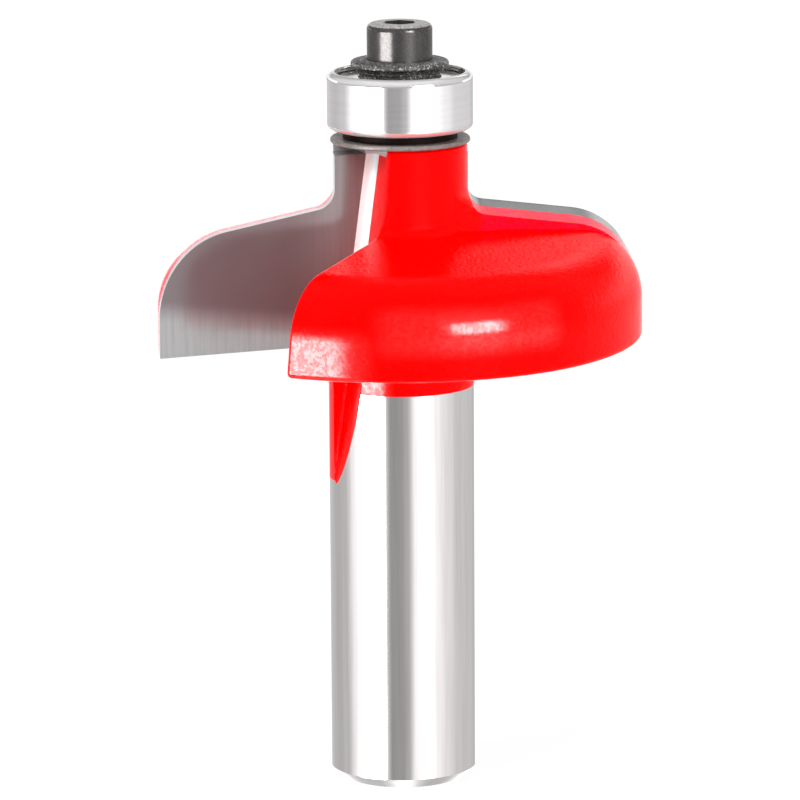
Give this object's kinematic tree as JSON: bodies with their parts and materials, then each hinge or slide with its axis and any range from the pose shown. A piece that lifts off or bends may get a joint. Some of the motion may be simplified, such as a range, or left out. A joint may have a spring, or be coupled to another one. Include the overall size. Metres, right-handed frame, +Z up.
{
  "type": "router bit",
  "caption": "Profile router bit with red coated body, brazed carbide tips and a ball bearing pilot held by a socket cap screw.",
  "frame": {"origin": "centre of the shank's end face, on the axis; the bit stands on this face", "axes": "+Z up the axis from the shank to the pilot; both cutting faces lie in the plane y = 0, with cutting edge 1 at +X; the bit cuts turning counter-clockwise seen from the tip"},
  "size_m": [0.0444, 0.04, 0.0666],
  "materials": {
    "coated_steel": "gloss red coat over steel, bare ground shank",
    "carbide": "ground tungsten carbide",
    "zinc_steel": "bright steel",
    "bearing_steel": "polished bearing steel",
    "shield_steel": "pressed bright steel",
    "spring_wire": "drawn spring wire",
    "black_steel": "black oxide"
  },
  "bodies": {
    "bit": {"bit_body": "coated_steel", "carbide_tip_1": "carbide", "carbide_tip_2": "carbide", "guard_disc": "zinc_steel", "spacer_ring": "black_steel", "bearing_inner_ring": "bearing_steel", "clamp_ring": "black_steel", "flange_washer": "black_steel", "cap_screw": "black_steel"},
    "outer_race": {"bearing_outer_ring": "bearing_steel", "shield_lower": "shield_steel", "shield_upper": "shield_steel", "snap_wire_lower": "spring_wire", "snap_wire_upper": "spring_wire"},
    "ball_cage": {"cage_lower": "shield_steel", "cage_upper": "shield_steel"},
    "ball_1": {"ball_1": "bearing_steel"},
    "ball_2": {"ball_2": "bearing_steel"},
    "ball_3": {"ball_3": "bearing_steel"},
    "ball_4": {"ball_4": "bearing_steel"},
    "ball_5": {"ball_5": "bearing_steel"},
    "ball_6": {"ball_6": "bearing_steel"},
    "ball_7": {"ball_7": "bearing_steel"}
  },
  "joints": [
    {"name": "bearing_spin", "type": "hinge", "parent": "bit", "child": "outer_race", "pos_m": [0, 0, 0.05988], "axis": [0, 0, 1], "continuous": true},
    {"name": "cage_spin", "type": "hinge", "parent": "bit", "child": "ball_cage", "pos_m": [0, 0, 0.05988], "axis": [0, 0, 1], "continuous": true},
    {"name": "ball_1_spin", "type": "hinge", "parent": "ball_cage", "child": "ball_1", "pos_m": [0.00437, 0, 0.05988], "axis": [0, 0, 1], "continuous": true},
    {"name": "ball_2_spin", "type": "hinge", "parent": "ball_cage", "child": "ball_2", "pos_m": [0.00272, 0.00341, 0.05988], "axis": [0, 0, 1], "continuous": true},
    {"name": "ball_3_spin", "type": "hinge", "parent": "ball_cage", "child": "ball_3", "pos_m": [-0.00097, 0.00426, 0.05988], "axis": [0, 0, 1], "continuous": true},
    {"name": "ball_4_spin", "type": "hinge", "parent": "ball_cage", "child": "ball_4", "pos_m": [-0.00393, 0.00189, 0.05988], "axis": [0, 0, 1], "continuous": true},
    {"name": "ball_5_spin", "type": "hinge", "parent": "ball_cage", "child": "ball_5", "pos_m": [-0.00393, -0.00189, 0.05988], "axis": [0, 0, 1], "continuous": true},
    {"name": "ball_6_spin", "type": "hinge", "parent": "ball_cage", "child": "ball_6", "pos_m": [-0.00097, -0.00426, 0.05988], "axis": [0, 0, 1], "continuous": true},
    {"name": "ball_7_spin", "type": "hinge", "parent": "ball_cage", "child": "ball_7", "pos_m": [0.00272, -0.00341, 0.05988], "axis": [0, 0, 1], "continuous": true}
  ],
  "couplings": [
    {"joint": "cage_spin", "follows": "bearing_spin", "ratio": 0.63636},
    {"joint": "ball_1_spin", "follows": "bearing_spin", "ratio": 1.697},
    {"joint": "ball_2_spin", "follows": "bearing_spin", "ratio": 1.697},
    {"joint": "ball_3_spin", "follows": "bearing_spin", "ratio": 1.697},
    {"joint": "ball_4_spin", "follows": "bearing_spin", "ratio": 1.697},
    {"joint": "ball_5_spin", "follows": "bearing_spin", "ratio": 1.697},
    {"joint": "ball_6_spin", "follows": "bearing_spin", "ratio": 1.697},
    {"joint": "ball_7_spin", "follows": "bearing_spin", "ratio": 1.697}
  ]
}
